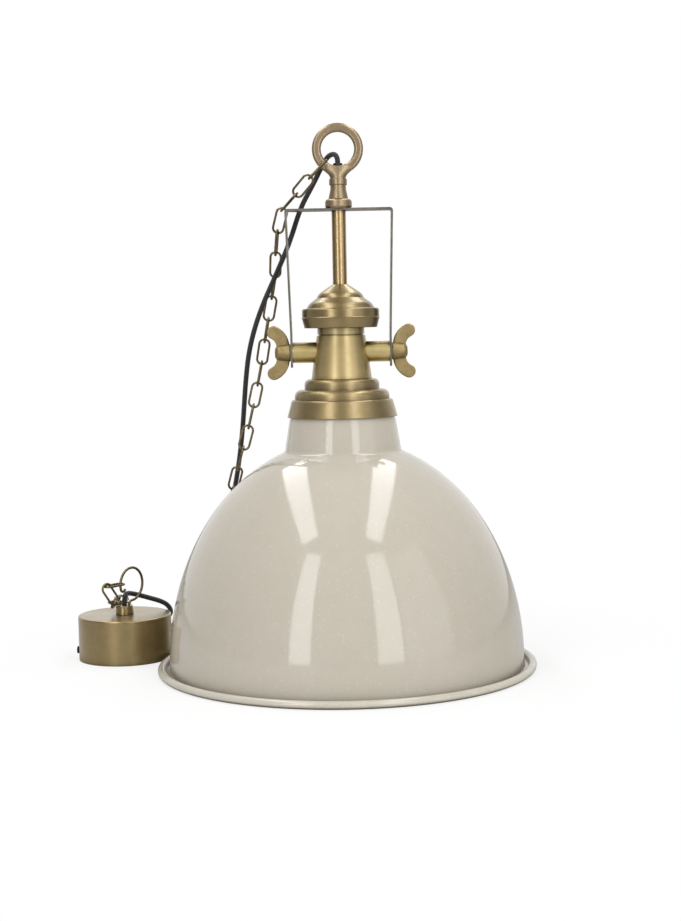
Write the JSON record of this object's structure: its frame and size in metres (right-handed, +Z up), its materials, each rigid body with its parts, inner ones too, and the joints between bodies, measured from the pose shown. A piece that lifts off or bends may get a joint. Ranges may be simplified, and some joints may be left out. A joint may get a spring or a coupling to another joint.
{
  "type": "pendant lamp",
  "caption": "Industrial dome pendant lamp: enamelled shade, aged-brass socket housing in a stirrup strap with wing nuts, eye finial, chain and cable to a round ceiling rose.",
  "frame": {"origin": "centre of the shade's mouth, on the plane that the rim stands on", "axes": "+Z up along the lamp's axis, +X to the right as seen from the front, through the wing nuts, +Y away from the viewer"},
  "size_m": [0.4986, 0.4, 0.5705],
  "materials": {
    "enamel": "gloss greige enamel",
    "brass": "brushed aged brass",
    "old_brass": "dull cast brass",
    "bronze": "dark bronzed wire",
    "rose_brass": "satin aged brass",
    "dark_steel": "dark brown patina",
    "steel": "zinc plated",
    "black_screw": "blackened",
    "contact_brass": "bare",
    "porcelain": "white glaze",
    "terminal_plastic": "moulded",
    "black_rubber": "matt",
    "black_textile": "braided",
    "brown_core": "insulation",
    "blue_core": "insulation",
    "earth_core": "insulation"
  },
  "bodies": {
    "lamp": {"cable": "black_textile", "centre_contact": "contact_brass", "chain": "bronze", "clamp_ring": "steel", "earth_screw": "steel", "earth_wire": "earth_core", "eye_finial": "old_brass", "eye_grommet": "black_rubber", "gallery": "brass", "holder_bracket": "steel", "holder_screws": "steel", "holder_terminal_screws": "contact_brass", "holder_terminals": "contact_brass", "inner_cable": "black_textile", "lampholder_body": "porcelain", "left_arm_boss": "brass", "left_stud": "brass", "live_wire": "brown_core", "lock_nut": "steel", "neutral_wire": "blue_core", "right_arm_boss": "brass", "right_stud": "brass", "rose_bracket": "steel", "rose_cable_tail": "black_textile", "rose_collar": "rose_brass", "rose_collar_nut": "steel", "rose_cover": "rose_brass", "rose_earth_wire": "earth_core", "rose_hook": "rose_brass", "rose_live_wire": "brown_core", "rose_neutral_wire": "blue_core", "rose_screws": "black_screw", "rose_terminal_block": "terminal_plastic", "rose_terminal_screws": "contact_brass", "screw_shell": "contact_brass", "shade": "enamel", "socket_housing": "brass", "stem_tube": "brass", "stirrup_strap": "dark_steel", "stud_nuts": "steel", "tie_tube": "steel", "top_cap": "brass"},
    "left_washer": {"left_washer": "brass"},
    "left_wing_nut": {"left_wing_nut": "brass"},
    "right_washer": {"right_washer": "brass"},
    "right_wing_nut": {"right_wing_nut": "brass"}
  },
  "joints": [
    {"name": "right_washer_slide", "type": "slide", "parent": "lamp", "child": "right_washer", "axis": [1, 0, 0], "range_m": [0, 0.0025]},
    {"name": "right_nut_turn", "type": "hinge", "parent": "right_washer", "child": "right_wing_nut", "pos_m": [0.0538, 0, 0.334], "axis": [1, 0, 0], "range_deg": [0, 720]},
    {"name": "left_washer_slide", "type": "slide", "parent": "lamp", "child": "left_washer", "axis": [-1, 0, 0], "range_m": [0, 0.0025]},
    {"name": "left_nut_turn", "type": "hinge", "parent": "left_washer", "child": "left_wing_nut", "pos_m": [-0.0538, 0, 0.334], "axis": [-1, 0, 0], "range_deg": [0, 720]}
  ],
  "couplings": [
    {"joint": "right_washer_slide", "follows": "right_nut_turn", "m_per_rad": 0.00019894},
    {"joint": "left_washer_slide", "follows": "left_nut_turn", "m_per_rad": 0.00019894}
  ]
}
